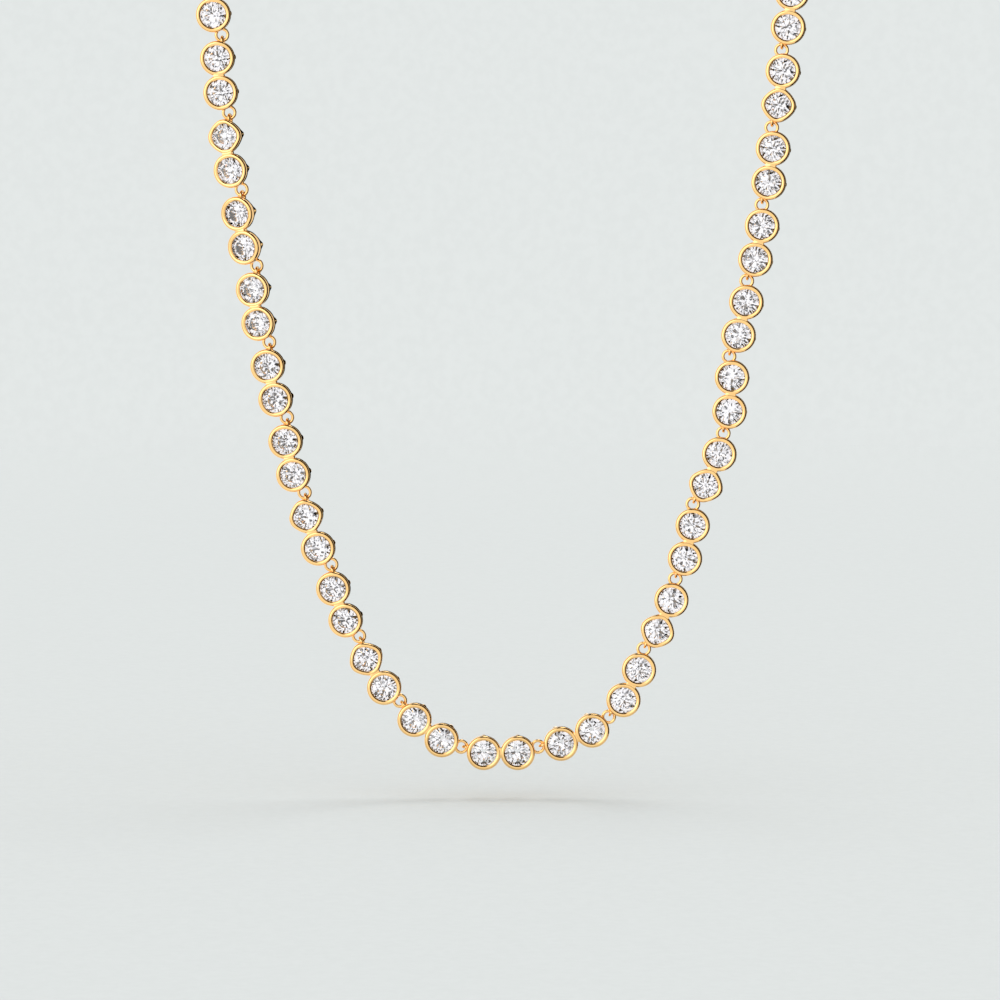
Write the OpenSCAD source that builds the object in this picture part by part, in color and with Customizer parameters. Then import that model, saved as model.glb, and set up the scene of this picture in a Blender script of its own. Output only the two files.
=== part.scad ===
// Riviere necklace of round stones in bezels, held as it hangs when worn.
// Millimetres, +Z up, the front faces -Y. The origin is at the nape, on the inner face of the clasp.
// A link is two bezels soldered side by side, with a flat ring at one end and an upright eye at the
// other. Each eye runs through the ring of the link before it, so the links swing on their rings.

/* [Stone] */
// Diameter of a stone at its girdle
stone_d = 3.3; // [3.1:0.05:3.5]
// Diameter of the flat table on top
table_d = 1.85; // [1.6:0.05:2.1]
// Height of the crown, from girdle to table
crown_h = 0.5; // [0.4:0.02:0.6]
// Thickness of the girdle
girdle_t = 0.1; // [0.06:0.02:0.16]
// Depth of the pavilion, from girdle to point
pavilion_h = 1.4; // [1.2:0.05:1.5]

/* [Bezel] */
// Clearance between a stone and its bezel
stone_gap = 0.13; // [0.13:0.01:0.16]
// Wall of the bezel round the girdle
wall_t = 0.27; // [0.24:0.01:0.34]
// How far the lip reaches over the edge of the stone
lip_over = 0.13; // [0.08:0.01:0.18]
// Thickness of the lip at its edge
lip_t = 0.12; // [0.08:0.01:0.16]
// Height of the rim's crest above the edge of the lip
rim_rise = 0.12; // [0.06:0.01:0.2]
// Radius that rounds the outside of the rim
rim_round = 0.2; // [0.1:0.02:0.24]
// Height of the bezel, from rim to open back
bezel_h = 2.3; // [2.2:0.05:2.6]
// Height of the straight band under the rim
band_h = 0.8; // [0.7:0.05:0.9]
// Diameter of the hole at the open back
back_hole_d = 2.4; // [2.2:0.05:2.6]
// Wall of the bezel at its open back
back_wall = 0.2; // [0.16:0.02:0.24]
// How far the flats of a squared bezel lie inside its round outline
square_in = 0.12; // [0.06:0.02:0.14]
// How far the opening of a squared bezel is drawn in at its flats
opening_in = 0.1; // [0.04:0.02:0.1]
// Height of the low point on each flank of a bezel, above the tapered wall there
pip_l = 0.26; // [0.2:0.02:0.28]
// Width of a flank point at its foot, along the necklace
pip_w = 1.7; // [1.4:0.05:1.7]
// Height of a flank point at its foot, from front to back
pip_h = 0.8; // [0.6:0.05:0.9]
// Depth of a flank point behind the crest of the rim
pip_depth = 1.4; // [1.3:0.05:1.5]

/* [Joint] */
// How far the two bezels of a link run into each other
pair_lap = 0.05; // [0.02:0.01:0.1]
// Width of the solder that fills the waist between them
waist_w = 1.2; // [0.9:0.05:1.3]
// Diameter of the hole in a ring
ring_hole_d = 1.04; // [1.0:0.02:1.2]
// Diameter of the wire of a ring
ring_wire_d = 0.37; // [0.32:0.01:0.42]
// Diameter of the wire of an eye
eye_wire_d = 0.32; // [0.28:0.01:0.34]
// Clearance of a ring in the eye that holds it, and from the next bezel
joint_gap = 0.14; // [0.13:0.01:0.17]
// Depth of the ring behind the crest of the rim
ring_depth = 1.55; // [1.4:0.05:1.6]
// How far rings and eyes sit off the line of the stones, towards the neck
ring_shift = 0.6; // [0.4:0.05:0.7]
// How deep a ring is soldered into its wall
solder_lap = 0.13; // [0.06:0.01:0.14]

/* [Clasp] */
// Length of the clasp's body
clasp_l = 8; // [7:0.5:10]
// Width of the clasp's body
clasp_w = 3.6; // [3:0.1:4]
// Thickness of the clasp's body
clasp_t = 2.2; // [2:0.1:2.4]
// Chamfer along the edges of the clasp
clasp_edge = 0.5; // [0.3:0.05:0.7]

/* [Necklace] */
// How far the lowest link hangs under the nape
drop = 126; // [122:1:130]
// How far the front strands hang before the nape
neck_depth = 66; // [62:1:70]
// Links on each side that lie out of sight round the neck
back_links = 11; // [11:1:12]
// How far each strand runs straight on before it turns back round the neck
climb = 36; // [32:1:40]
// How far the faces lean up where the hidden stretch is halfway round, in degrees
lean_angle = 35; // [25:1:45]

/* [Hidden] */

GOLD = "#e8b65a";
STONE = "#f4f6f7";

// The front links, a row each, counted up from the lowest one, as they hang in the reference:
// [slope of the link above level, turn of its face away from the neck, both in degrees,
// and 1 if its bezel at the eye is a little square, from being pressed over its stone].
SLOPE = 0;
TURN = 1;
SQUARE = 2;
LEFT_FRONT = [
    [37, 3, 0], [58, 3, 1], [69, 8, 0], [70, 7, 1], [77, 9, 0], [77, 10, 0],
    [81, 17, 0], [79, 24, 0], [81, 16, 1], [85, 7, 0], [84, 5, 0],
];
RIGHT_FRONT = [
    [23, 0, 0], [63, -2, 0], [66, -3, 1], [77, -5, 0], [67, -7, 1], [86, -6, 0],
    [77, -7, 0], [79, -8, 0], [83, -10, 0], [83, -10, 1], [84, -9, 0],
];

// Each side of the loop: which way it lies along X.
LEFT = -1;
RIGHT = 1;

// Parts of a placed link: its centre in the plane of its ring, its three axes, and whether its
// bezel at the eye is squared. ALONG runs from the eye to the ring, INWARD towards the neck,
// OUT through the face.
CENTRE = 0;
ALONG = 1;
INWARD = 2;
OUT = 3;
SQUARED = 4;

// Sizes of the stone
stone_r = stone_d / 2;
table_r = table_d / 2;
crown_slope = crown_h / (stone_r - table_r);
pavilion_slope = pavilion_h / stone_r;
STAR_SHARE = 0.46;
KEEL_SHARE = 0.24;
star_r = table_r + STAR_SHARE * (stone_r - table_r);
keel_r = KEEL_SHARE * stone_r;

// Sizes of the bezel, heights counted down from the crest of the rim
cavity_r = stone_r + stone_gap;
bezel_r = cavity_r + wall_t;
lip_r = stone_r - lip_over;
back_hole_r = back_hole_d / 2;
back_r = back_hole_r + back_wall;
lip_clear = stone_gap * sqrt(1 + crown_slope * crown_slope);
seat_clear = stone_gap * sqrt(1 + pavilion_slope * pavilion_slope);
lip_under_z = -rim_rise - lip_t;
girdle_top_z = lip_under_z - lip_clear - crown_slope * lip_over;
girdle_low_z = girdle_top_z - girdle_t;
cavity_top_z = girdle_top_z + lip_clear - crown_slope * stone_gap;
cavity_low_z = girdle_low_z - seat_clear + pavilion_slope * stone_gap;
seat_low_z = girdle_low_z - seat_clear - pavilion_slope * (stone_r - back_hole_r);
rim_in_r = bezel_r - rim_round;
wall_taper = (bezel_r - back_r) / (bezel_h - band_h);
function wall_r(depth) = bezel_r - wall_taper * max(depth - band_h, 0);

// Sizes of the joint, measured in the plane of the ring
pair_pitch = 2 * bezel_r - pair_lap;
ring_out_r = ring_hole_d / 2 + ring_wire_d;
ring_mid_r = ring_hole_d / 2 + ring_wire_d / 2;
eye_mid_r = ring_wire_d / 2 + joint_gap + eye_wire_d / 2;
wall_lean = sqrt(1 + wall_taper * wall_taper);
wall_clear = (joint_gap + ring_wire_d / 2) * wall_lean - ring_wire_d / 2;
ring_from_bezel = wall_r(ring_depth) + ring_out_r - solder_lap;
bezel_from_ring = wall_r(ring_depth) + ring_out_r + wall_clear;
ring_x = pair_pitch / 2 + sqrt(pow(ring_from_bezel, 2) - pow(ring_shift, 2));
eye_x = pair_pitch / 2 + sqrt(pow(bezel_from_ring, 2) - pow(ring_shift, 2)) - ring_mid_r;
link_pitch = ring_x + ring_mid_r + eye_x;

// Sizes of the clasp's ends, and where on each side the chain hangs on it
clasp_back_z = ring_depth - bezel_h;
clasp_ring_x = clasp_l / 2 + ring_out_r - solder_lap;
clasp_eye_x = clasp_l / 2 + ring_wire_d / 2 + joint_gap;
function clasp_end_x(side) = side == LEFT ? -clasp_ring_x - ring_mid_r : clasp_eye_x;

function unit(v) = v / norm(v);

// A direction laid into the plane that stands square to an axis
function laid(v, axis) = unit(v - (v * axis) * axis);

// The axes of a link that points along and faces out
function axes(along, face) =
    let (out = laid(face, along))
    [along, cross(out, along), out];

function front_axes(row, side) =
    let (along = [cos(row[SLOPE]), 0, side * sin(row[SLOPE])])
    let (ahead = [0, -1, 0])
    axes(along, cos(row[TURN]) * ahead - sin(row[TURN]) * cross(ahead, along));

// The middle of a link's ring, and where the eye of a link that points along next sits on it
function ring_point(link) = link[CENTRE] + ring_x * link[ALONG] + ring_shift * link[INWARD];
function seat_point(link, next) = ring_point(link) + ring_mid_r * laid(next, link[OUT]);
function eye_point(link) = link[CENTRE] - eye_x * link[ALONG] + ring_shift * link[INWARD];

// A link whose eye sits at a point, and the links after and before a placed one
function link_at(eye, a, square = 0) = concat([eye + eye_x * a[0] - ring_shift * a[1]], a, [square]);
function link_after(link, a, square) = link_at(seat_point(link, a[0]), a, square);
function link_before(link, a, square) =
    let (ring = eye_point(link) - ring_mid_r * laid(link[ALONG], a[2]))
    concat([ring - ring_x * a[0] - ring_shift * a[1]], a, [square]);

function front_links(link, rows, side, k = 0) =
    k == len(rows) ? [] :
    let (a = front_axes(rows[k], side))
    let (square = rows[k][SQUARE])
    let (next = side == RIGHT ? link_after(link, a, square) : link_before(link, a, square))
    concat([next], front_links(next, rows, side, k + 1));

// The hidden stretch of a side follows a cubic curve from the top of the front to the clasp
function curve_at(c, t) =
    pow(1 - t, 3) * c[0] + 3 * t * pow(1 - t, 2) * c[1] + 3 * t * t * (1 - t) * c[2] + pow(t, 3) * c[3];

// The place on the curve that lies one link further on, found by halving
HALVINGS = 26;
FAR_ON = 0.5;
function one_on(c, t, lo, hi, n = HALVINGS) =
    n == 0 ? lo :
    let (mid = (lo + hi) / 2)
    norm(curve_at(c, mid) - curve_at(c, t)) < link_pitch ?
        one_on(c, t, mid, hi, n - 1) : one_on(c, t, lo, mid, n - 1);
function places(c, t, links) =
    links == 0 ? [t] : concat([t], places(c, one_on(c, t, t, t + FAR_ON), links - 1));

// How wide the curve swings out, so that its last link ends at the clasp
LEAST_SWING = 5;
MOST_SWING = 150;
function swung(from, heading, to, side, swing) =
    [from, from + climb * heading, to + [side * swing, 0, 0], to];
function fitted(from, heading, to, side, lo, hi, n = HALVINGS) =
    let (mid = (lo + hi) / 2)
    let (c = swung(from, heading, to, side, mid))
    n == 0 ? c :
    places(c, 0, back_links)[back_links] > 1 ?
        fitted(from, heading, to, side, mid, hi, n - 1) : fitted(from, heading, to, side, lo, mid, n - 1);

// Faces turn ever faster from the front to the nape, and lean up in between
TURN_POWER = 1.2;
function turned_out(k, start, side) =
    let (way = k / (back_links + 1))
    let (turn = start + (180 - start) * pow(way, TURN_POWER))
    let (up = lean_angle * sin(180 * way))
    [side * sin(turn) * cos(up), -cos(turn) * cos(up), sin(up)];

function back_links_of(last, side) =
    let (heading = side * last[ALONG])
    let (from = side == RIGHT ? seat_point(last, last[ALONG]) : eye_point(last))
    let (to = [clasp_end_x(side), -clasp_back_z, 0])
    let (c = fitted(from, heading, to, side, LEAST_SWING, MOST_SWING))
    let (t = places(c, 0, back_links))
    let (p = [for (k = [0:back_links]) curve_at(c, t[k])])
    let (rows = side == RIGHT ? RIGHT_FRONT : LEFT_FRONT)
    let (start = rows[len(rows) - 1][TURN])
    [for (k = [1:back_links])
        let (along = side * unit(p[k] - p[k - 1]))
        link_at(side == RIGHT ? p[k - 1] : p[k], axes(along, turned_out(k, start, side)))];

lowest = concat([[0, -neck_depth, -drop]], axes([1, 0, 0], [0, -1, 0]), [0]);
left_front = front_links(lowest, LEFT_FRONT, LEFT);
right_front = front_links(lowest, RIGHT_FRONT, RIGHT);
LEFT_LINKS = concat(left_front, back_links_of(left_front[len(left_front) - 1], LEFT));
RIGHT_LINKS = concat([lowest], right_front, back_links_of(right_front[len(right_front) - 1], RIGHT));

module placed(link) {
    multmatrix([for (row = [0:2]) [link[ALONG][row], link[INWARD][row], link[OUT][row], link[CENTRE][row]]])
        children();
}

// The wall of a bezel in half section, from its back up the outside and down the inside
module bezel_section() {
    rim = [for (a = [0:15:90]) [rim_in_r + rim_round * cos(a), rim_round * (sin(a) - 1)]];
    polygon(concat(
        [[back_hole_r, -bezel_h], [back_r, -bezel_h], [bezel_r, -band_h]],
        rim,
        [[lip_r, -rim_rise], [lip_r, lip_under_z], [cavity_r, cavity_top_z]],
        [[cavity_r, cavity_low_z], [back_hole_r, seat_low_z]]
    ));
}

// The low point on a flank: a four-sided pyramid with its foot sunk in the wall
PIP_SINK = 0.25;
PIP_TIP_SHARE = 0.2;
module pip() {
    translate([0, 0, wall_r(pip_depth) - PIP_SINK])
        scale([pip_w / 2, pip_h / 2, 1])
            cylinder(r1 = 1, r2 = PIP_TIP_SHARE, h = PIP_SINK + pip_l, $fn = 4);
}

module bezel() {
    translate([0, 0, ring_depth])
        rotate_extrude($fn = 64) bezel_section();
    for (flank = [-1, 1])
        translate([0, 0, ring_depth - pip_depth]) rotate([-90 * flank, 0, 0]) pip();
}

// A bezel with flats across its diagonals, outside and round its opening
module square_bezel() {
    difference() {
        bezel();
        for (turn = [45:90:315])
            rotate([0, 0, turn]) outer_flat();
    }
    for (turn = [45:90:315])
        rotate([0, 0, turn]) opening_flat();
}

// What a flat takes off the outside
module outer_flat() {
    translate([bezel_r - square_in, -bezel_r, ring_depth - bezel_h])
        cube([bezel_r, 2 * bezel_r, 2 * bezel_h]);
}

// The plate that a flat adds to the lip, with its ends sunk in the lip
FLAT_SINK = 0.02;
FLAT_UNDER_LIP = 0.01;
FLAT_OVER_STONE = 0.04;
module opening_flat() {
    near = lip_r - opening_in;
    half_l = sqrt(pow(lip_r + 2 * FLAT_SINK, 2) - pow(near, 2));
    low = lip_under_z + FLAT_OVER_STONE;
    translate([near, -half_l, ring_depth + low])
        cube([opening_in + FLAT_SINK, 2 * half_l, -rim_rise - FLAT_UNDER_LIP - low]);
}

// A wire ring that lies flat about the origin
module wire_ring(mid_r, wire_d) {
    rotate_extrude($fn = 48)
        translate([mid_r, 0]) circle(d = wire_d, $fn = 24);
}

module ring() {
    wire_ring(ring_mid_r, ring_wire_d);
}

module eye() {
    rotate([90, 0, 0]) wire_ring(eye_mid_r, eye_wire_d);
}

// Solder in the waist, from wall to wall, kept out of the cavities. It starts a little under the
// crest of the rims and ends a little past the straight band.
WAIST_IN = 0.03;
WAIST_UNDER_CREST = 0.08;
WAIST_PAST_BAND = 0.2;
module waist() {
    waist_l = pair_pitch - 2 * (cavity_r + WAIST_IN);
    waist_h = band_h + WAIST_PAST_BAND - WAIST_UNDER_CREST;
    translate([-waist_l / 2, -waist_w / 2, ring_depth - band_h - WAIST_PAST_BAND])
        cube([waist_l, waist_w, waist_h]);
}

module link(square) {
    translate([-pair_pitch / 2, 0, 0])
        if (square == 1) square_bezel(); else bezel();
    translate([pair_pitch / 2, 0, 0]) bezel();
    waist();
    translate([ring_x, ring_shift, 0]) ring();
    translate([-eye_x, ring_shift, 0]) eye();
}

// A round brilliant, its heights counted from the crest of the rim: a table, eight stars,
// eight kites and sixteen break facets over the girdle, sixteen halves and eight mains under it
FOLD = 8;
STEP = 360 / FOLD;
function spoke(r, a, z) = [r * cos(a), r * sin(a), z + ring_depth];
table_z = girdle_top_z + crown_h;
star_z = table_z - crown_slope * (star_r * cos(STEP / 2) - table_r);
point_z = girdle_low_z - pavilion_h;
keel_z = point_z + pavilion_slope * keel_r * cos(STEP / 2);
STONE_POINTS = concat(
    [for (k = [0:FOLD - 1]) spoke(table_r, k * STEP, table_z)],
    [for (k = [0:FOLD - 1]) spoke(star_r, (k + 0.5) * STEP, star_z)],
    [for (k = [0:2 * FOLD - 1]) spoke(stone_r, k * STEP / 2, girdle_top_z)],
    [for (k = [0:2 * FOLD - 1]) spoke(stone_r, k * STEP / 2, girdle_low_z)],
    [for (k = [0:FOLD - 1]) spoke(keel_r, (k + 0.5) * STEP, keel_z)],
    [spoke(0, 0, point_z)]
);
// Where each ring of points starts, counted round it
function table_i(k) = k % FOLD;
function star_i(k) = FOLD + k % FOLD;
function upper_i(k) = 2 * FOLD + k % (2 * FOLD);
function lower_i(k) = 4 * FOLD + k % (2 * FOLD);
function keel_i(k) = 6 * FOLD + k % FOLD;
POINT_I = 7 * FOLD;
STONE_FACES = concat(
    [[for (k = [FOLD - 1:-1:0]) table_i(k)]],
    [for (k = [0:FOLD - 1]) [table_i(k), table_i(k + 1), star_i(k)]],
    [for (k = [0:FOLD - 1]) [table_i(k + 1), star_i(k + 1), upper_i(2 * k + 2), star_i(k)]],
    [for (k = [0:FOLD - 1]) [star_i(k), upper_i(2 * k + 1), upper_i(2 * k)]],
    [for (k = [0:FOLD - 1]) [star_i(k), upper_i(2 * k + 2), upper_i(2 * k + 1)]],
    [for (k = [0:2 * FOLD - 1]) [upper_i(k), upper_i(k + 1), lower_i(k + 1), lower_i(k)]],
    [for (k = [0:FOLD - 1]) [keel_i(k), lower_i(2 * k), lower_i(2 * k + 1)]],
    [for (k = [0:FOLD - 1]) [keel_i(k), lower_i(2 * k + 1), lower_i(2 * k + 2)]],
    [for (k = [0:FOLD - 1]) [POINT_I, keel_i(k), lower_i(2 * k + 2), keel_i(k + 1)]]
);

// The two stones of every link of one side, as one shape of separate stones
module stones(links) {
    seats = [for (link = links, end = [-1, 1]) [link, end * pair_pitch / 2]];
    points = [for (s = seats, p = STONE_POINTS)
        s[0][CENTRE] + (p[0] + s[1]) * s[0][ALONG] + p[1] * s[0][INWARD] + p[2] * s[0][OUT]];
    faces = [for (n = [0:len(seats) - 1], f = STONE_FACES) [for (i = f) i + n * len(STONE_POINTS)]];
    polyhedron(points, faces);
}

module settings_left() {
    color(GOLD)
        for (l = LEFT_LINKS) placed(l) link(l[SQUARED]);
}

module settings_right() {
    color(GOLD)
        for (l = RIGHT_LINKS) placed(l) link(l[SQUARED]);
}

module stones_left() {
    color(STONE) stones(LEFT_LINKS);
}

module stones_right() {
    color(STONE) stones(RIGHT_LINKS);
}

// The clasp is shut and plain: a chamfered block with its own eye and ring
module clasp() {
    color(GOLD)
        placed(concat([[0, -clasp_back_z, 0]], axes([-1, 0, 0], [0, 1, 0]))) {
            rotate([90, 0, 90])
                translate([0, clasp_back_z, -clasp_l / 2])
                    linear_extrude(clasp_l) clasp_section();
            translate([clasp_ring_x, 0, 0]) ring();
            translate([-clasp_eye_x, 0, 0]) eye();
        }
}

module clasp_section() {
    half = clasp_w / 2;
    polygon([
        [-half + clasp_edge, 0], [half - clasp_edge, 0], [half, clasp_edge],
        [half, clasp_t - clasp_edge], [half - clasp_edge, clasp_t],
        [-half + clasp_edge, clasp_t], [-half, clasp_t - clasp_edge], [-half, clasp_edge]
    ]);
}

settings_left();
settings_right();
stones_left();
stones_right();
clasp();
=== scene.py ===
# %% [markdown]
# # A riviere necklace, finished round its frame
# The necklace is one row of round brilliants, each in its own gold bezel. The bezels are soldered
# in pairs, and each pair hangs in the ring of the pair before it. The frame already holds every
# piece at its real size, so this lesson only makes the same pieces finer and gives them a finish.
# Everything is in metres, with +Z up and the front of the necklace towards -Y.

# %% Load the frame
import math

import bmesh
import bpy
import numpy as np
from mathutils import Matrix, Vector


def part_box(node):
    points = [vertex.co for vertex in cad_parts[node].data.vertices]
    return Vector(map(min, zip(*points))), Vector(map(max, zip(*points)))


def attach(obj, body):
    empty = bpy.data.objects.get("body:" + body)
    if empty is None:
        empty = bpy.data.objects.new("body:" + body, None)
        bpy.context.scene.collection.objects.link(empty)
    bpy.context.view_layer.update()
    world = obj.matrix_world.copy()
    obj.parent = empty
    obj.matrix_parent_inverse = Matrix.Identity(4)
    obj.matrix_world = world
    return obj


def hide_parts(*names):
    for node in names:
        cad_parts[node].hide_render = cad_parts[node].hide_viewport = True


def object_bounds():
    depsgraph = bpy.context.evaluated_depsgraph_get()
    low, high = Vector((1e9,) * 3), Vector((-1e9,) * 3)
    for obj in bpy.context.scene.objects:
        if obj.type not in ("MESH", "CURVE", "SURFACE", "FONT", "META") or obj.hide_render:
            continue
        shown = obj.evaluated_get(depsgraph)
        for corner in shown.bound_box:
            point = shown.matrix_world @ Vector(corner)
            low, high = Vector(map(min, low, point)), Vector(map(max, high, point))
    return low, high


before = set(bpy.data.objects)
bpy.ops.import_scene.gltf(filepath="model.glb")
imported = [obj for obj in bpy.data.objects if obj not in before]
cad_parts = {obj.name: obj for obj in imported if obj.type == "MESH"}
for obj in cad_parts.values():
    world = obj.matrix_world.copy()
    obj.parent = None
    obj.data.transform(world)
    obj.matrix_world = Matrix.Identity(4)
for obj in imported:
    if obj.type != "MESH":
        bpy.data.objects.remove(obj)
cad_low, cad_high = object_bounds()
print("frame", [round(1000 * v, 1) for v in (*cad_low, *cad_high)], "mm")

# %% [markdown]
# ## Sizes
# A jeweller works from a drawing with a few sizes. These are the sizes of the frame's own pieces,
# so that each finer piece lies where the plain one lies. They are in millimetres, and MM turns
# them into metres. Depths are counted down from the crest of the rim, as in the drawing.

# %% Sizes of the stone, the bezel and the joint
MM = 0.001
stone_r = 1.65 * MM
table_r = 0.925 * MM
crown_h = 0.5 * MM
girdle_t = 0.1 * MM
pavilion_h = 1.4 * MM

stone_gap = 0.13 * MM
wall_t = 0.27 * MM
lip_over = 0.13 * MM
lip_t = 0.12 * MM
rim_rise = 0.12 * MM
bezel_h = 2.3 * MM
band_h = 0.8 * MM
back_hole_r = 1.2 * MM
back_wall = 0.2 * MM
pip_l = 0.26 * MM
pip_w = 1.7 * MM
pip_h = 0.8 * MM
pip_depth = 1.4 * MM

pair_lap = 0.05 * MM
waist_w = 1.2 * MM
ring_hole_r = 0.52 * MM
ring_wire_r = 0.185 * MM
eye_wire_r = 0.16 * MM
joint_gap = 0.14 * MM
ring_depth = 1.55 * MM
ring_shift = 0.6 * MM
solder_lap = 0.13 * MM

clasp_l = 8 * MM
clasp_w = 3.6 * MM
clasp_t = 2.2 * MM
clasp_edge = 0.5 * MM

drop = 126 * MM
neck_depth = 66 * MM
climb = 36 * MM
lean = math.radians(35)
BACK_LINKS = 11

crown_slope = crown_h / (stone_r - table_r)
pavilion_slope = pavilion_h / stone_r
cavity_r = stone_r + stone_gap
bezel_r = cavity_r + wall_t
lip_r = stone_r - lip_over
back_r = back_hole_r + back_wall
lip_clear = stone_gap * math.hypot(1, crown_slope)
seat_clear = stone_gap * math.hypot(1, pavilion_slope)
girdle_top = rim_rise + lip_t + lip_clear + crown_slope * lip_over
girdle_low = girdle_top + girdle_t
wall_taper = (bezel_r - back_r) / (bezel_h - band_h)


def wall_r(depth):
    """Radius of the bezel's outside at a depth."""
    return bezel_r - wall_taper * max(depth - band_h, 0)


pair_pitch = 2 * bezel_r - pair_lap
ring_out_r = ring_hole_r + 2 * ring_wire_r
ring_mid_r = ring_hole_r + ring_wire_r
eye_mid_r = ring_wire_r + joint_gap + eye_wire_r
wall_clear = (joint_gap + ring_wire_r) * math.hypot(1, wall_taper) - ring_wire_r
ring_from_bezel = wall_r(ring_depth) + ring_out_r - solder_lap
bezel_from_ring = wall_r(ring_depth) + ring_out_r + wall_clear
ring_x = pair_pitch / 2 + math.sqrt(ring_from_bezel**2 - ring_shift**2)
eye_x = pair_pitch / 2 + math.sqrt(bezel_from_ring**2 - ring_shift**2) - ring_mid_r
link_pitch = ring_x + ring_mid_r + eye_x
print("bezel", round(2 * bezel_r / MM, 2), "mm, from link to link", round(link_pitch / MM, 3), "mm")

# %% [markdown]
# ## Where each link hangs
# A chain has no free shape: each link starts where the ring before it lets it hang. So a link's
# place is worked out from its neighbour. In front, two short tables give how steeply each link
# hangs, how far its face turns away from the neck, and how square its bezel at the eye was
# pressed. Out of sight, the links follow one smooth curve round to the clasp, and halving finds
# the curve that ends exactly there.

# %% Directions and one link's axes
LEFT, RIGHT = -1, 1
LEFT_FRONT = [
    (37, 3, 0), (58, 3, 1), (69, 8, 0), (70, 7, 1), (77, 9, 0), (77, 10, 0),
    (81, 17, 0), (79, 24, 0), (81, 16, 1), (85, 7, 0), (84, 5, 0),
]
RIGHT_FRONT = [
    (23, 0, 0), (63, -2, 0), (66, -3, 1), (77, -5, 0), (67, -7, 1), (86, -6, 0),
    (77, -7, 0), (79, -8, 0), (83, -10, 0), (83, -10, 1), (84, -9, 0),
]
AHEAD = np.array([0.0, -1.0, 0.0])


def unit(v):
    """The direction of v."""
    return v / np.linalg.norm(v)


def laid(v, axis):
    """The direction v, laid into the plane that stands square to axis."""
    return unit(v - np.dot(v, axis) * axis)


def axes(along, face):
    """A link's three directions: along it, inward to the neck, and out through its face."""
    out = laid(face, along)
    return along, np.cross(out, along), out


def front_axes(row, side):
    """The directions of a front link, from its row of the table."""
    slope, turn = (math.radians(a) for a in row[:2])
    along = np.array([math.cos(slope), 0, side * math.sin(slope)])
    return axes(along, math.cos(turn) * AHEAD - math.sin(turn) * np.cross(AHEAD, along))


# %% A link's ring and eye, and its neighbours
def ring_point(link):
    """The middle of a link's ring."""
    centre, along, inward, _ = link
    return centre + ring_x * along + ring_shift * inward


def eye_point(link):
    """The middle of a link's eye."""
    centre, along, inward, _ = link
    return centre - eye_x * along + ring_shift * inward


def seat_point(link, next_along):
    """Where the eye of a link that runs along next_along sits on this link's ring."""
    return ring_point(link) + ring_mid_r * laid(next_along, link[3])


def link_at(eye, a):
    """A link whose eye sits at a point."""
    return (eye + eye_x * a[0] - ring_shift * a[1], *a)


def link_before(link, a):
    """The link whose ring holds this link's eye."""
    ring = eye_point(link) - ring_mid_r * laid(link[1], a[2])
    return (ring - ring_x * a[0] - ring_shift * a[1], *a)


def front_links(lowest, rows, side):
    """The front links of one side, counted up from the lowest one."""
    found, last = [], lowest
    for row in rows:
        a = front_axes(row, side)
        last = link_at(seat_point(last, a[0]), a) if side == RIGHT else link_before(last, a)
        found.append(last)
    return found


# %% The hidden stretch, from the top of the front round to the clasp
HALVINGS = 26
FAR_ON = 0.5
SWINGS = 5 * MM, 150 * MM
TURN_POWER = 1.2
clasp_back = ring_depth - bezel_h
clasp_ring_x = clasp_l / 2 + ring_out_r - solder_lap
clasp_eye_x = clasp_l / 2 + ring_wire_r + joint_gap


def curve_at(c, t):
    """A point on a cubic curve."""
    return (1 - t) ** 3 * c[0] + 3 * t * (1 - t) ** 2 * c[1] + 3 * t * t * (1 - t) * c[2] + t**3 * c[3]


def places(c):
    """Where the hidden links meet, a link's length apart along the curve."""
    found = [0.0]
    for _ in range(BACK_LINKS):
        low, high = found[-1], found[-1] + FAR_ON
        for _ in range(HALVINGS):
            mid = (low + high) / 2
            near = np.linalg.norm(curve_at(c, mid) - curve_at(c, found[-1])) < link_pitch
            low, high = (mid, high) if near else (low, mid)
        found.append(low)
    return found


def fitted(start, heading, end, side):
    """The curve that swings out just far enough for its last link to end at the clasp."""
    low, high = SWINGS
    for _ in range(HALVINGS):
        mid = (low + high) / 2
        c = start, start + climb * heading, end + np.array([side * mid, 0, 0]), end
        low, high = (mid, high) if places(c)[-1] > 1 else (low, mid)
    return c


def turned_out(k, turn, side):
    """Which way the face of hidden link k looks: round to the nape, and up in between."""
    way = k / (BACK_LINKS + 1)
    turn += (math.pi - turn) * way**TURN_POWER
    up = lean * math.sin(math.pi * way)
    return np.array([side * math.sin(turn) * math.cos(up), -math.cos(turn) * math.cos(up), math.sin(up)])


def back_links(last, turn, side):
    """The hidden links of one side."""
    start = seat_point(last, last[1]) if side == RIGHT else eye_point(last)
    end_x = clasp_eye_x if side == RIGHT else -clasp_ring_x - ring_mid_r
    c = fitted(start, side * last[1], np.array([end_x, -clasp_back, 0]), side)
    p = [curve_at(c, t) for t in places(c)]
    found = []
    for k in range(1, BACK_LINKS + 1):
        a = axes(side * unit(p[k] - p[k - 1]), turned_out(k, turn, side))
        found.append(link_at(p[k - 1] if side == RIGHT else p[k], a))
    return found


# %% Every link of the loop
lowest = (np.array([0, -neck_depth, -drop]), *axes(np.array([1.0, 0, 0]), AHEAD))
left_links = front_links(lowest, LEFT_FRONT, LEFT)
left_links += back_links(left_links[-1], math.radians(LEFT_FRONT[-1][1]), LEFT)
right_links = front_links(lowest, RIGHT_FRONT, RIGHT)
right_links = [lowest] + right_links + back_links(right_links[-1], math.radians(RIGHT_FRONT[-1][1]), RIGHT)
clasp_place = (np.array([0, -clasp_back, 0]), *axes(np.array([-1.0, 0, 0]), -AHEAD))
print(len(left_links), "links on the left,", len(right_links), "on the right")


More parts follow.
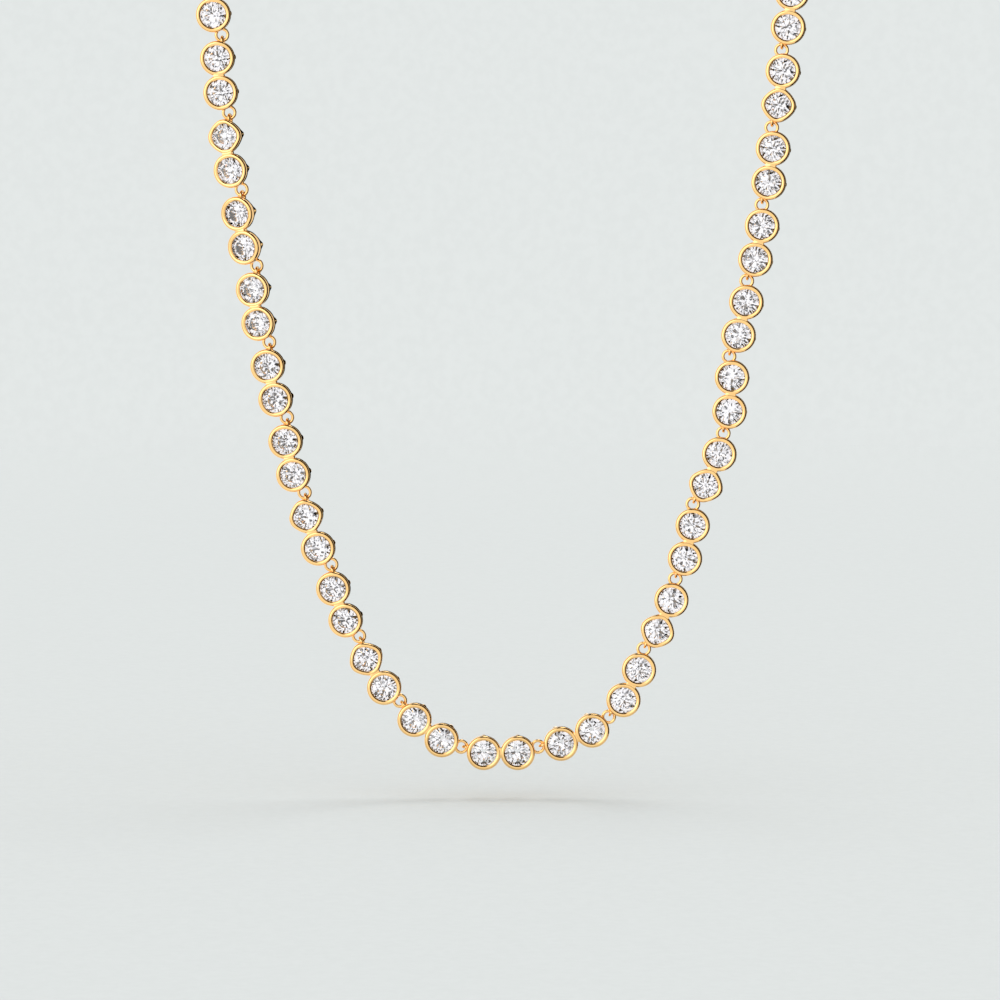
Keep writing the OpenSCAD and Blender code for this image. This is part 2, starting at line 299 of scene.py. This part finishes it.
def matrix_of(link):
    """The matrix that puts a piece modelled at the origin in a link's place."""
    centre, along, inward, out = link
    m = Matrix.Identity(4)
    for column, direction in enumerate((along, inward, out, centre)):
        for row in range(3):
            m[row][column] = direction[row]
    return m


# %% [markdown]
# ## Helpers for modelling
# In Blender's window a maker clicks on what the next tool should change. In a script the same
# tools act on whatever is selected, so nothing may stay selected from before. These helpers
# start clean, pick corners of a mesh by their place, and tidy a finished shell: doubles merged,
# faces looking outward, and edges smooth unless they are sharp.

# %% Start clean, pick, and tidy
MERGE = 0.002 * MM
ALL_SHARP, ALL_SMOOTH = 0, 180


def start_clean():
    """Leave edit mode and select nothing."""
    if bpy.context.object and bpy.context.object.mode != "OBJECT":
        bpy.ops.object.mode_set(mode="OBJECT")
    bpy.ops.object.select_all(action="DESELECT")


def pick(test):
    """In edit mode, select the corners whose place passes a test."""
    mesh = bmesh.from_edit_mesh(bpy.context.object.data)
    for v in mesh.verts:
        v.select = bool(test(v.co))
    mesh.select_flush_mode()
    bmesh.update_edit_mesh(bpy.context.object.data)


def tidy_shell(sharp_degrees):
    """Close and turn out the shell being edited, then shade it smooth up to an angle."""
    bpy.ops.mesh.select_all(action="SELECT")
    bpy.ops.mesh.remove_doubles(threshold=MERGE)
    bpy.ops.mesh.normals_make_consistent(inside=False)
    bpy.ops.object.mode_set(mode="OBJECT")
    bpy.ops.object.transform_apply(location=True, rotation=True, scale=True)
    bpy.ops.object.shade_smooth_by_angle(angle=math.radians(sharp_degrees))
    return bpy.context.object


def joined(parts, name):
    """One piece out of several, under a new name."""
    start_clean()
    for part in parts:
        part.select_set(True)
    bpy.context.view_layer.objects.active = parts[0]
    if len(parts) > 1:
        bpy.ops.object.join()
    parts[0].name = parts[0].data.name = name
    return parts[0]


def copied(piece, matrix):
    """A copy of a piece with its own mesh, moved by a matrix inside that mesh."""
    twin = piece.copy()
    twin.data = piece.data.copy()
    twin.data.transform(matrix)
    bpy.context.scene.collection.objects.link(twin)
    return twin


# %% [markdown]
# ## The stone
# A round brilliant is ground from a round blank until only flat facets are left: a table, eight
# stars, eight kites and sixteen breaks above the girdle, and sixteen halves and eight mains under
# it. Their corners lie on six rings, the last of them the tiny flat at the point. Here the
# corners are set out as in the drawing and wrapped as tightly as possible, which gives every
# facet its true plane. A cone with smooth shading would be quicker, but only true facets throw
# the light back as a real stone does.

# %% Set out the corners and wrap them
FOLD = 8
STEP = math.tau / FOLD
STAR_SHARE = 0.46
KEEL_SHARE = 0.24
culet_r = 0.02 * MM

table_depth = girdle_top - crown_h
point_depth = girdle_low + pavilion_h
star_r = table_r + STAR_SHARE * (stone_r - table_r)
keel_r = KEEL_SHARE * stone_r
star_depth = table_depth + crown_slope * (star_r * math.cos(STEP / 2) - table_r)
keel_depth = point_depth - pavilion_slope * keel_r * math.cos(STEP / 2)

# Each ring of corners: how many, radius, depth, and where the first one lies
CORNERS = [
    (FOLD, table_r, table_depth, 0),
    (FOLD, star_r, star_depth, STEP / 2),
    (2 * FOLD, stone_r, girdle_top, 0),
    (2 * FOLD, stone_r, girdle_low, 0),
    (FOLD, keel_r, keel_depth, STEP / 2),
    (FOLD, culet_r, point_depth - pavilion_slope * culet_r, 0),
]


def corner_ring(count, radius, depth, first):
    """A ring of stone corners, turned so that its first corner lies where it should."""
    start_clean()
    bpy.ops.mesh.primitive_circle_add(
        vertices=count, radius=radius, location=(0, 0, ring_depth - depth),
        rotation=(0, 0, first), fill_type="NOTHING")
    bpy.ops.object.transform_apply(location=True, rotation=True)
    return bpy.context.object


brilliant = joined([corner_ring(*row) for row in CORNERS], "brilliant")
bpy.ops.object.mode_set(mode="EDIT")
bpy.ops.mesh.select_all(action="SELECT")
bpy.ops.mesh.convex_hull(delete_unused=True)
brilliant = tidy_shell(ALL_SHARP)
print("brilliant:", len(brilliant.data.polygons), "facets")

# %% [markdown]
# ## The bezel
# A bezel is a short tapered tube. Its upper edge is rolled over the stone as a smooth rim, and
# its back is open. A lathe would cut it from a section, and spin does that in Blender. Here a
# circle at the back edge is drawn up the outside, over the rim and down the inside instead,
# because extruding ring after ring keeps the sides even and closes on itself without a seam.
# It also lets a few bezels come out a little square, as pressing them over the stone left them:
# the first ring is drawn in at its diagonals, and every later ring follows it.

# %% The section of a bezel, as radius and depth
SIDES = 48
cavity_top = girdle_top - lip_clear + crown_slope * stone_gap
cavity_low = girdle_low + seat_clear - pavilion_slope * stone_gap
seat_low = girdle_low + seat_clear + pavilion_slope * (stone_r - back_hole_r)

# The rolled rim: how far in from the outside, and how far under the crest, in millimetres
RIM = [(0, 0.22), (0.01, 0.17), (0.035, 0.125), (0.12, 0.045), (0.16, 0.02), (0.22, 0.005), (0.27, 0)]
# Its edge over the stone: how far out from the opening, and how far under the crest
LIP = [(0.17, 0.01), (0.135, 0.025), (0.035, 0.095), (0.02, 0.107), (0.006, 0.14), (0, 0.18)]

section = [(back_hole_r, bezel_h), (back_r, bezel_h), (bezel_r, band_h)]
section += [(bezel_r - inward * MM, depth * MM) for inward, depth in RIM]
section += [(lip_r + outward * MM, depth * MM) for outward, depth in LIP]
section += [(lip_r, rim_rise + lip_t), (cavity_r, cavity_top)]
section += [(cavity_r, cavity_low), (back_hole_r, seat_low)]
print("section of the bezel:", len(section), "corners")


# %% Draw the bezel up ring by ring
SHARP_BEZEL = 40

# What draws a square bezel in: how many degrees from a diagonal it reaches, and what share of
# their radius the corners there keep. Corners near the diagonal take every row, one by one.
SQUARING = [(31, 0.985), (24, 0.98), (16, 0.98), (8, 0.988)]


def from_diagonal(place):
    """How many degrees a corner lies from the nearest diagonal."""
    return abs(math.degrees(math.atan2(place.y, place.x)) % 90 - 45)


def drawn_up(rows, square):
    """A closed shell round Z, from rows of radius and depth. Flats across make it square."""
    start_clean()
    (radius, depth) = rows[0]
    bpy.ops.mesh.primitive_circle_add(
        vertices=SIDES, radius=radius, location=(0, 0, ring_depth - depth), fill_type="NOTHING")
    bpy.ops.object.transform_apply(location=True)
    bpy.ops.object.mode_set(mode="EDIT")
    for degrees, share in SQUARING if square else []:
        pick(lambda place: from_diagonal(place) < degrees)
        bpy.ops.transform.resize(value=(share, share, 1), center_override=(0, 0, ring_depth - depth))
    bpy.ops.mesh.select_all(action="SELECT")
    for wider, lower in rows[1:] + rows[:1]:
        bpy.ops.mesh.extrude_region_move(TRANSFORM_OT_translate={"value": (0, 0, depth - lower)})
        bpy.ops.transform.resize(
            value=(wider / radius, wider / radius, 1), center_override=(0, 0, ring_depth - lower))
        radius, depth = wider, lower
    return tidy_shell(SHARP_BEZEL)


round_bezel = drawn_up(section, square=False)
square_bezel = drawn_up(section, square=True)
print("bezel:", len(round_bezel.data.polygons), "faces")

# %% [markdown]
# ## Pips, waist, ring and eye
# Casting leaves a low point on each flank of a bezel, seen past the rim. Two bezels meet at a
# waist that solder fills. The ring is a round wire laid flat behind the rim, and the eye is a
# finer wire stood upright, so that each runs through the other.

# %% A low point on a flank: a four-sided pyramid with soft edges
PIP_SINK = 0.25 * MM
PIP_TIP_SHARE = 0.2
PIP_EDGE = 0.04 * MM
SHARP_PIP = 50


def pip(flank):
    """The low point on one flank of a bezel."""
    start_clean()
    foot_r = wall_r(pip_depth) - PIP_SINK
    length = PIP_SINK + pip_l
    bpy.ops.mesh.primitive_cone_add(
        vertices=4, radius1=pip_w / 2, radius2=PIP_TIP_SHARE * pip_w / 2, depth=length,
        location=(0, flank * (foot_r + length / 2), ring_depth - pip_depth),
        rotation=(-flank * math.pi / 2, 0, 0))
    bpy.ops.object.transform_apply(location=True, rotation=True)
    bpy.ops.object.mode_set(mode="EDIT")
    bpy.ops.mesh.select_all(action="SELECT")
    bpy.ops.transform.resize(value=(1, 1, pip_h / pip_w), center_override=(0, 0, ring_depth - pip_depth))
    bpy.ops.mesh.bevel(offset=PIP_EDGE, segments=2, affect="EDGES")
    return tidy_shell(SHARP_PIP)


# %% The waist: a block with bevelled edges
WAIST_IN = 0.03 * MM
WAIST_UNDER_CREST = 0.04 * MM
WAIST_PAST_BAND = 0.2 * MM
WAIST_EDGE = 0.06 * MM
SHARP_BLOCK = 40


def waist():
    """The solder between two bezels, kept out of their cavities."""
    start_clean()
    length = pair_pitch - 2 * (cavity_r + WAIST_IN)
    top, low = WAIST_UNDER_CREST, band_h + WAIST_PAST_BAND
    bpy.ops.mesh.primitive_cube_add(
        size=1, scale=(length, waist_w, low - top), location=(0, 0, ring_depth - (top + low) / 2))
    bpy.ops.object.transform_apply(location=True, scale=True)
    bpy.ops.object.mode_set(mode="EDIT")
    bpy.ops.mesh.select_all(action="SELECT")
    bpy.ops.mesh.bevel(offset=WAIST_EDGE, segments=2, affect="EDGES")
    return tidy_shell(SHARP_BLOCK)


# %% Rings of wire
ROUND_RING, ROUND_WIRE = 32, 12


def wire_ring(mid_r, wire_r, place, upright):
    """A round wire ring, flat or upright."""
    start_clean()
    bpy.ops.mesh.primitive_torus_add(
        major_radius=mid_r, minor_radius=wire_r, major_segments=ROUND_RING, minor_segments=ROUND_WIRE,
        location=place, rotation=(math.pi / 2 if upright else 0, 0, 0))
    bpy.ops.object.mode_set(mode="EDIT")
    return tidy_shell(ALL_SMOOTH)


ring = wire_ring(ring_mid_r, ring_wire_r, (ring_x, ring_shift, 0), False)
eye = wire_ring(eye_mid_r, eye_wire_r, (-eye_x, ring_shift, 0), True)
print("ring:", len(ring.data.polygons), "faces")

# %% Whole links, with a round or a square bezel at the eye, and their two stones
ring_end = Matrix.Translation((pair_pitch / 2, 0, 0))
eye_end = ring_end.inverted()
pips = joined([pip(-1), pip(1)], "pips")
ring_half = joined([copied(p, ring_end) for p in (round_bezel, pips)] + [waist(), ring, eye], "ring_half")
links_made = [
    joined([copied(ring_half, Matrix()), copied(bezel, eye_end), copied(pips, eye_end)], name)
    for bezel, name in ((round_bezel, "round_link"), (square_bezel, "square_link"))]
stone_pair = joined([copied(brilliant, ring_end), copied(brilliant, eye_end)], "stone_pair")
print("link:", sum(len(p.vertices) - 2 for p in links_made[0].data.polygons), "triangles")

# %% [markdown]
# ## The two strands
# The finished link and its stones are copied to every place of the chain, each copy with its own
# mesh, and the copies of one side are joined. Two strands of gold and two of stones then stand for
# the frame's plain solids.

# %% Copy the link to every place
SQUARE = 2
ROUND_BACK = [0] * BACK_LINKS
left_squares = [row[SQUARE] for row in LEFT_FRONT] + ROUND_BACK
right_squares = [0] + [row[SQUARE] for row in RIGHT_FRONT] + ROUND_BACK


def strand(links, squares, name):
    """The gold of one side: a copy of a round or a square link for every place."""
    return joined([copied(links_made[s], matrix_of(p)) for p, s in zip(links, squares)], name)


gold_left = strand(left_links, left_squares, "gold_links_left")
gold_right = strand(right_links, right_squares, "gold_links_right")
stones_left = joined([copied(stone_pair, matrix_of(p)) for p in left_links], "brilliants_left")
stones_right = joined([copied(stone_pair, matrix_of(p)) for p in right_links], "brilliants_right")
for pattern in (*links_made, ring_half, pips, round_bezel, square_bezel, stone_pair, brilliant):
    bpy.data.objects.remove(pattern)

PAIRS = [
    (gold_left, "settings_left"), (gold_right, "settings_right"),
    (stones_left, "stones_left"), (stones_right, "stones_right"),
]
for piece, node in PAIRS:
    made = np.array([v.co for v in piece.data.vertices])
    low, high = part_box(node)
    off = max(abs(made.min(0) - np.array(low)).max(), abs(made.max(0) - np.array(high)).max())
    print(piece.name, "differs from its node's box by", round(off / MM, 3), "mm at most")

# %% [markdown]
# ## The clasp
# The clasp lies at the nape, out of sight in the photograph, so it is one plain shut piece: a
# bar with softened edges, its own ring at one end and its own eye at the other.

# %% Shape the clasp
start_clean()
bpy.ops.mesh.primitive_cube_add(
    size=1, scale=(clasp_l, clasp_w, clasp_t), location=(0, 0, clasp_back + clasp_t / 2))
bpy.ops.object.transform_apply(location=True, scale=True)
bpy.ops.object.mode_set(mode="EDIT")
bpy.ops.mesh.select_all(action="SELECT")
bpy.ops.mesh.bevel(offset=clasp_edge, segments=5, affect="EDGES")
clasp_body = tidy_shell(SHARP_BLOCK)
clasp_ring = wire_ring(ring_mid_r, ring_wire_r, (clasp_ring_x, 0, 0), False)
clasp_eye = wire_ring(eye_mid_r, eye_wire_r, (-clasp_eye_x, 0, 0), True)
clasp = joined([clasp_body, clasp_ring, clasp_eye], "box_clasp")
clasp.data.transform(matrix_of(clasp_place))
print("clasp:", len(clasp.data.polygons), "faces")

# %% [markdown]
# ## Gold and stone
# Polished gold plate is almost a mirror: its colour is the colour of what it reflects, warmed by
# the metal. A little noise in roughness and tone keeps it from looking drawn. The stones are
# clear, and bend light much more than glass does, which the index of refraction says.

# %% Nodes that every finish needs
def new_material(name):
    """A node material, its nodes, its links and its shader."""
    material = bpy.data.materials.new(name)
    material.use_nodes = True
    tree = material.node_tree
    return material, tree.nodes, tree.links, tree.nodes["Principled BSDF"]


def noise_over(nodes, links, scale, detail):
    """Noise laid over an object in its own coordinates."""
    place = nodes.new("ShaderNodeTexCoord")
    cloud = nodes.new("ShaderNodeTexNoise")
    cloud.inputs["Scale"].default_value = scale
    cloud.inputs["Detail"].default_value = detail
    links.new(place.outputs["Object"], cloud.inputs["Vector"])
    return cloud.outputs["Fac"]


def two_tones(nodes, links, factor, low, high):
    """A ramp from one colour to another over the middle of the noise."""
    tone = nodes.new("ShaderNodeValToRGB")
    tone.color_ramp.elements[0].position = 0.3
    tone.color_ramp.elements[0].color = (*low, 1)
    tone.color_ramp.elements[1].position = 0.7
    tone.color_ramp.elements[1].color = (*high, 1)
    links.new(factor, tone.inputs["Fac"])
    return tone.outputs["Color"]


# %% Gold
GOLD_TONES = (0.99, 0.61, 0.24), (1.0, 0.66, 0.28)
GOLD_POLISH = 0.06, 0.14
GOLD_PATCHES = 400

gold, nodes, links, shader = new_material("polished_gold")
shader.inputs["Metallic"].default_value = 1
cloud = noise_over(nodes, links, GOLD_PATCHES, 3)
links.new(two_tones(nodes, links, cloud, *GOLD_TONES), shader.inputs["Base Color"])
polish = nodes.new("ShaderNodeMapRange")
polish.inputs["To Min"].default_value, polish.inputs["To Max"].default_value = GOLD_POLISH
links.new(cloud, polish.inputs["Value"])
links.new(polish.outputs["Result"], shader.inputs["Roughness"])

# %% Stone
STONE_TONES = (0.97, 0.975, 0.985), (1, 1, 1)
STONE_BENDING = 2.15
STONE_PATCHES = 900

clear, nodes, links, shader = new_material("clear_stone")
shader.inputs["Transmission Weight"].default_value = 1
shader.inputs["Roughness"].default_value = 0
shader.inputs["IOR"].default_value = STONE_BENDING
cloud = noise_over(nodes, links, STONE_PATCHES, 2)
links.new(two_tones(nodes, links, cloud, *STONE_TONES), shader.inputs["Base Color"])


# %% Dress every piece
def dressed(piece, material, node):
    """Give a piece its material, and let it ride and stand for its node."""
    piece.data.materials.clear()
    piece.data.materials.append(material)
    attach(piece, "root")
    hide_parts(node)


for piece, node in PAIRS[:2]:
    dressed(piece, gold, node)
for piece, node in PAIRS[2:]:
    dressed(piece, clear, node)
dressed(clasp, gold, "clasp")
print("finishes:", gold.name, "and", clear.name)

# %% [markdown]
# ## The picture
# The camera looks slightly down from a long way off, so that the strands keep their true shape.
# The set is a pale table in a pale room, close in tone, so that no edge shows between them.

# %% Camera
PICTURE = 1000
PIXELS_PER_MM = 8.42
camera_far = 550 * MM
camera_up = math.radians(4.9)
aim_right, aim_ahead, aim_above = -0.1 * MM, 1.24 * MM, 30.3 * MM
aim = Vector((aim_right, -neck_depth - aim_ahead, -drop + aim_above))

camera_data = bpy.data.cameras.new("camera")
camera_data.sensor_width = 36
camera_data.lens = camera_data.sensor_width * PIXELS_PER_MM * camera_far / MM / PICTURE
camera = bpy.data.objects.new("camera", camera_data)
bpy.context.scene.collection.objects.link(camera)
back = Vector((0, -math.cos(camera_up), math.sin(camera_up)))
camera.location = aim + camera_far * back
camera.rotation_mode = "QUATERNION"
camera.rotation_quaternion = (-back).to_track_quat("-Z", "Y")
camera_data.clip_start = 10 * MM
camera_data.clip_end = 10
bpy.context.scene.camera = camera
print("lens", round(camera_data.lens, 1), "mm")

# %% Table
PALE = (0.770, 0.803, 0.795)
TABLE_TONE = 0.8
KEY_SHARE = 0.15
PAPER_GRAIN = 900
PAPER_SHADES = 0.997, 0.973
floor_z = cad_low.z - 3.5 * MM
paper_r, fade_r = 0.75, 0.3
close_by, far_off = 12 * MM, 30 * MM

start_clean()
bpy.ops.mesh.primitive_circle_add(
    vertices=96, radius=paper_r, fill_type="NGON", location=(0, -neck_depth, floor_z))
floor = bpy.context.object
floor.name = "pale_table"
bpy.ops.object.transform_apply(location=True)
table_paint, nodes, links, shader = new_material("pale_paper")
shader.inputs["Roughness"].default_value = 1
shader.inputs["Specular IOR Level"].default_value = 0
grain = noise_over(nodes, links, PAPER_GRAIN, 2)
paler, darker = ([TABLE_TONE * share * c for c in PALE] for share in PAPER_SHADES)
links.new(two_tones(nodes, links, grain, darker, paler), shader.inputs["Base Color"])

# %% The paper thins out away from the necklace, so that the table has no edge
spot = nodes.new("ShaderNodeVectorMath")
spot.operation = "DISTANCE"
links.new(nodes.new("ShaderNodeTexCoord").outputs["Object"], spot.inputs[0])
spot.inputs[1].default_value = (0, -neck_depth, floor_z)
fade = nodes.new("ShaderNodeMapRange")
fade.interpolation_type = "SMOOTHSTEP"
fade.inputs["From Min"].default_value = fade_r
fade.inputs["From Max"].default_value = paper_r
fade.inputs["To Min"].default_value = 1
fade.inputs["To Max"].default_value = 0
links.new(spot.outputs["Value"], fade.inputs["Value"])

# %% Gold reflects the table only from close by, and the painted room from further up
table_rays = nodes.new("ShaderNodeLightPath").outputs
close = nodes.new("ShaderNodeMapRange")
close.inputs["From Min"].default_value = close_by
close.inputs["From Max"].default_value = far_off
close.inputs["To Min"].default_value = 1
close.inputs["To Max"].default_value = 0
links.new(table_rays["Ray Length"], close.inputs["Value"])
shown = nodes.new("ShaderNodeMix")
shown.inputs["A"].default_value = 1
links.new(table_rays["Is Glossy Ray"], shown.inputs["Factor"])
links.new(close.outputs["Result"], shown.inputs["B"])
solid = nodes.new("ShaderNodeMath")
solid.operation = "MULTIPLY"
links.new(fade.outputs["Result"], solid.inputs[0])
links.new(shown.outputs["Result"], solid.inputs[1])
links.new(solid.outputs["Value"], shader.inputs["Alpha"])
floor.data.materials.append(table_paint)
print("table", round((cad_low.z - floor_z) / MM, 1), "mm under the necklace")

# %% [markdown]
# The room is painted by direction. The camera sees paper with a faint grain, and the table is lit
# by one even tone. The gold sees a bright room with a window on the left, and on the right it is
# black beside and behind the necklace, which draws the thin dark lines on its edges. It is bright
# between the two, so that the tapered walls stay golden from the side. The stones see bright
# panels with small dark gaps between them, which is what makes facets sparkle.

# %% The room
world = bpy.data.worlds.new("pale_room")
bpy.context.scene.world = world
world.use_nodes = True
world.cycles.sampling_method = "NONE"
room = world.node_tree.nodes
room_links = world.node_tree.links
background = room["Background"]
direction = room.new("ShaderNodeTexCoord").outputs["Generated"]
rays = room.new("ShaderNodeLightPath").outputs


# %% Nodes that paint by direction
def toward(axis):
    """How far the direction points along an axis, from -1 to 1."""
    node = room.new("ShaderNodeVectorMath")
    node.operation = "DOT_PRODUCT"
    room_links.new(direction, node.inputs[0])
    node.inputs[1].default_value = Vector(axis).normalized()
    return node.outputs["Value"]


def ramped(value, start, end):
    """Zero below start and one above end, eased in between. Start may be the larger."""
    node = room.new("ShaderNodeMapRange")
    node.interpolation_type = "SMOOTHSTEP"
    rising = start < end
    node.inputs["From Min"].default_value = min(start, end)
    node.inputs["From Max"].default_value = max(start, end)
    node.inputs["To Min"].default_value = 0 if rising else 1
    node.inputs["To Max"].default_value = 1 if rising else 0
    room_links.new(value, node.inputs["Value"])
    return node.outputs["Result"]


def times(a, b):
    """The product of two values."""
    node = room.new("ShaderNodeMath")
    node.operation = "MULTIPLY"
    room_links.new(a, node.inputs[0])
    room_links.new(b, node.inputs[1])
    return node.outputs["Value"]


def blended(factor, under, over):
    """One colour over another. Each is a colour or the output of a node."""
    node = room.new("ShaderNodeMix")
    node.data_type = "RGBA"
    room_links.new(factor, node.inputs["Factor"])
    for name, colour in ((6, under), (7, over)):
        if isinstance(colour, bpy.types.NodeSocket):
            room_links.new(colour, node.inputs[name])
        else:
            node.inputs[name].default_value = (*colour, 1)
    return node.outputs[2]


def grey(level):
    """A neutral colour."""
    return level, level, level


# %% What gold sees
BLACK = 0.004
DIM = 0.2
LEFT_WALL, RIGHT_WALL = 1.08, 0.92
WINDOW = 2.2

away = toward((0, 1, 0))
right_side = ramped(toward((0.95, 0, 0.3)), -0.04, 0.1)
sideways = times(right_side, times(ramped(away, -0.8, -0.66), ramped(away, 0.5, 0.35)))
behind = times(right_side, ramped(away, 0.78, 0.88))
window = ramped(toward((-0.65, -0.7, 0.3)), 0.85, 0.95)
walls = blended(ramped(toward((1, 0, 0)), -0.6, 0.8), grey(LEFT_WALL), grey(RIGHT_WALL))
gap = times(ramped(away, -0.22, -0.12), ramped(away, 0.12, 0.02))
walls = blended(gap, walls, grey(DIM))
walls = blended(behind, blended(sideways, walls, grey(BLACK)), grey(BLACK))
seen_by_gold = blended(window, walls, grey(WINDOW))

# %% What the stones see: bright panels, with dark gaps where the noise is low
PANEL_NOISE = 16
GAPS_END, PANELS_START = 0.42, 0.50
GAP_TONE, PANEL_TONE = (0.01, 0.01, 0.012, 1), (1.2, 1.19, 1.23, 1)

panels = room.new("ShaderNodeTexNoise")
panels.inputs["Scale"].default_value = PANEL_NOISE
panels.inputs["Detail"].default_value = 2
room_links.new(direction, panels.inputs["Vector"])
gaps = room.new("ShaderNodeValToRGB")
gaps.color_ramp.elements[0].position = GAPS_END
gaps.color_ramp.elements[0].color = GAP_TONE
gaps.color_ramp.elements[1].position = PANELS_START
gaps.color_ramp.elements[1].color = PANEL_TONE
room_links.new(panels.outputs["Fac"], gaps.inputs["Fac"])

# %% What the camera sees: paper with a faint grain, of the same tone as the table
LIGHTER, DEEPER = 1.012, 0.988

plain = grey((1 - KEY_SHARE) / TABLE_TONE)
flecks = room.new("ShaderNodeTexNoise")
flecks.inputs["Scale"].default_value = PAPER_GRAIN * camera_far
room_links.new(direction, flecks.inputs["Vector"])
grained = ramped(flecks.outputs["Fac"], 0.3, 0.7)
paper = blended(grained, [DEEPER * c for c in PALE], [LIGHTER * c for c in PALE])
seen = blended(rays["Is Camera Ray"], plain, paper)
seen = blended(rays["Is Glossy Ray"], seen, seen_by_gold)
seen = blended(rays["Is Transmission Ray"], seen, gaps.outputs["Color"])
room_links.new(seen, background.inputs["Color"])
print("room painted with", len(room), "nodes")

# %% A soft light from above
KEY_ANGLE = math.radians(25)
KEY_TILT = math.radians(-14), math.radians(8), 0

key_data = bpy.data.lights.new("soft_key", "SUN")
key_data.angle = KEY_ANGLE
key_data.energy = math.pi * KEY_SHARE / TABLE_TONE
key = bpy.data.objects.new("soft_key", key_data)
key.rotation_euler = KEY_TILT
bpy.context.scene.collection.objects.link(key)

bpy.context.scene.view_settings.view_transform = "Standard"
print("sun", round(key_data.energy, 2), "W/m2")
